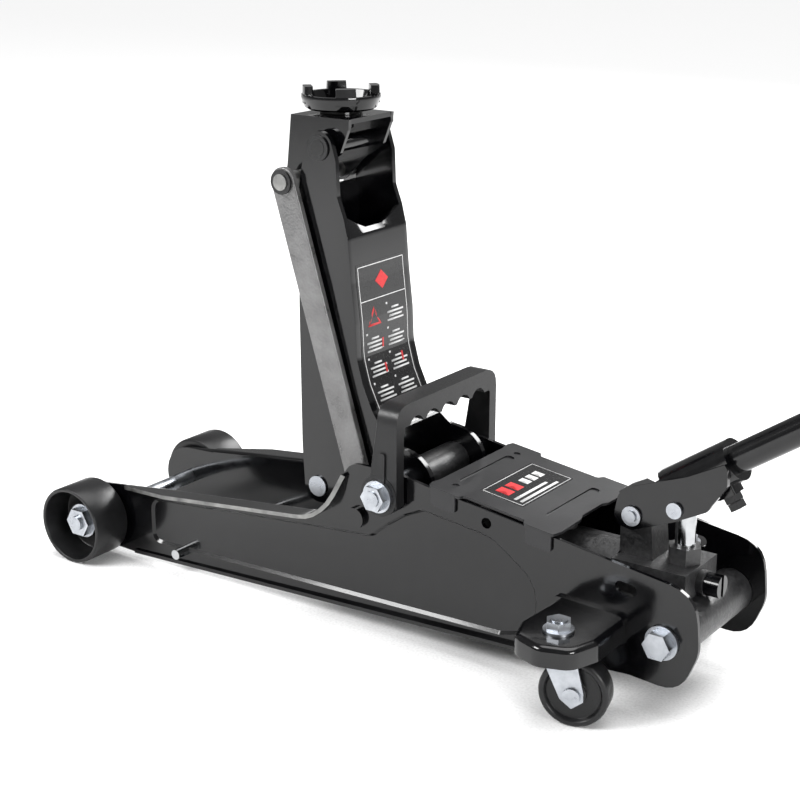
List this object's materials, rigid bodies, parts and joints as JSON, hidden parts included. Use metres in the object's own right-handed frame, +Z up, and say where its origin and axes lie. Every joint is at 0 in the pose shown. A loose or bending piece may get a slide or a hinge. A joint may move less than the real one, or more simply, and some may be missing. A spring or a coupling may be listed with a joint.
{
  "type": "hydraulic floor jack",
  "caption": "Low two-plate hydraulic floor jack with a raised lift arm, round saddle, rear casters, carry handle and a bent pump handle.",
  "frame": {"origin": "on the floor under the middle of the jack's overall box", "axes": "+X from the front wheels to the pump handle, +Y across the frame, +Z up"},
  "size_m": [0.9541, 0.244, 0.4834],
  "materials": {
    "black_paint": "gloss",
    "saddle_black": "gloss",
    "satin_cover": "satin",
    "cast_black": "rough",
    "hammered_grey": "hammered",
    "zinc": "bright zinc plate",
    "polished_steel": "polished",
    "black_plastic": "moulded",
    "black_rubber": "matt"
  },
  "bodies": {
    "frame": {"side_plate_left": "black_paint", "side_plate_right": "black_paint", "tie_rod": "zinc", "front_axle": "zinc", "axle_nuts": "zinc", "main_shaft": "zinc", "shaft_nuts": "zinc", "link_stubs": "black_paint", "pump_body": "cast_black", "cross_bolts": "zinc", "oil_tank": "cast_black", "tank_head": "cast_black", "plunger_gland": "cast_black", "fulcrum_pin": "zinc", "fulcrum_rings": "zinc", "relief_plug": "zinc", "filler_plug": "black_rubber", "cover_plate": "satin_cover", "caster_bracket_left": "black_paint", "caster_bracket_right": "black_paint", "caster_studs": "zinc", "caster_nuts": "zinc"},
    "front_wheel_left": {"wheel_left": "black_plastic"},
    "front_wheel_right": {"wheel_right": "black_plastic"},
    "fork_left": {"caster_fork_left": "zinc", "caster_rivet_left": "zinc"},
    "fork_right": {"caster_fork_right": "zinc", "caster_rivet_right": "zinc"},
    "rear_wheel_left": {"caster_wheel_left": "black_plastic"},
    "rear_wheel_right": {"caster_wheel_right": "black_plastic"},
    "carry": {"carry_handle": "black_plastic"},
    "arm": {"lift_arm": "black_paint", "arm_sleeve": "black_paint", "ram_pin": "zinc", "head_pin": "black_paint", "head_rings": "zinc"},
    "links": {"link_left": "hammered_grey", "link_right": "hammered_grey", "link_pin": "zinc", "link_rings": "zinc"},
    "saddle_mount": {"saddle_bracket": "black_paint"},
    "saddle": {"saddle_cup": "saddle_black", "saddle_ring": "zinc"},
    "ram": {"ram_rod": "polished_steel", "ram_pad": "cast_black"},
    "pump_lever": {"lever_socket": "black_paint", "lever_rivets": "zinc", "clamp_bolt": "black_paint", "clamp_nut": "black_paint", "handle_lower": "black_paint", "handle_upper": "black_paint", "handle_grip": "black_rubber"},
    "plunger_rod": {"plunger": "polished_steel", "plunger_pin": "zinc"},
    "release": {"release_valve": "black_paint"}
  },
  "joints": [
    {"name": "arm_lift", "type": "hinge", "parent": "frame", "child": "arm", "pos_m": [-0.15593, 0, 0.113], "axis": [0, 1, 0], "range_deg": [-86, 0]},
    {"name": "saddle_level", "type": "hinge", "parent": "arm", "child": "saddle_mount", "pos_m": [-0.22893, 0, 0.351], "axis": [0, 1, 0], "range_deg": [0, 86]},
    {"name": "link_swing", "type": "hinge", "parent": "frame", "child": "links", "pos_m": [-0.18393, 0, 0.087], "axis": [0, 1, 0], "range_deg": [-86, 0]},
    {"name": "saddle_turn", "type": "hinge", "parent": "saddle_mount", "child": "saddle", "pos_m": [-0.23594, 0, 0.371], "axis": [0, 0, 1], "continuous": true},
    {"name": "ram_slide", "type": "slide", "parent": "frame", "child": "ram", "axis": [1, 0, 0], "range_m": [0, 0.09002]},
    {"name": "front_left_roll", "type": "hinge", "parent": "frame", "child": "front_wheel_left", "pos_m": [-0.44594, 0, 0.0316], "axis": [0, 1, 0], "continuous": true},
    {"name": "front_right_roll", "type": "hinge", "parent": "frame", "child": "front_wheel_right", "pos_m": [-0.44594, 0, 0.0316], "axis": [0, 1, 0], "continuous": true},
    {"name": "swivel_left", "type": "hinge", "parent": "frame", "child": "fork_left", "pos_m": [0.01006, -0.093, 0.05], "axis": [0, 0, 1], "continuous": true},
    {"name": "swivel_right", "type": "hinge", "parent": "frame", "child": "fork_right", "pos_m": [0.01006, 0.093, 0.05], "axis": [0, 0, 1], "continuous": true},
    {"name": "rear_left_roll", "type": "hinge", "parent": "fork_left", "child": "rear_wheel_left", "pos_m": [0.02262, -0.08964, 0.024], "axis": [-0.2588, 0.9659, 0], "continuous": true},
    {"name": "rear_right_roll", "type": "hinge", "parent": "fork_right", "child": "rear_wheel_right", "pos_m": [0.02194, 0.08771, 0.024], "axis": [0.4067, 0.9135, 0], "continuous": true},
    {"name": "carry_fold", "type": "hinge", "parent": "frame", "child": "carry", "pos_m": [-0.15593, 0, 0.113], "axis": [0, 1, 0], "range_deg": [0, 44]},
    {"name": "pump_stroke", "type": "hinge", "parent": "frame", "child": "pump_lever", "pos_m": [0.02157, 0, 0.1235], "axis": [0, -1, 0], "range_deg": [-10, 24]},
    {"name": "plunger_slide", "type": "slide", "parent": "frame", "child": "plunger_rod", "axis": [0, 0, 1], "range_m": [-0.0069, 0.0165]},
    {"name": "release_turn", "type": "hinge", "parent": "frame", "child": "release", "pos_m": [0.07407, 0, 0.08], "axis": [1, 0, 0], "range_deg": [-180, 180]}
  ],
  "couplings": [
    {"joint": "saddle_level", "follows": "arm_lift", "ratio": -1},
    {"joint": "link_swing", "follows": "arm_lift", "ratio": 1},
    {"joint": "ram_slide", "follows": "arm_lift", "m_per_rad": -0.059974},
    {"joint": "plunger_slide", "follows": "pump_stroke", "m_per_rad": 0.039}
  ]
}
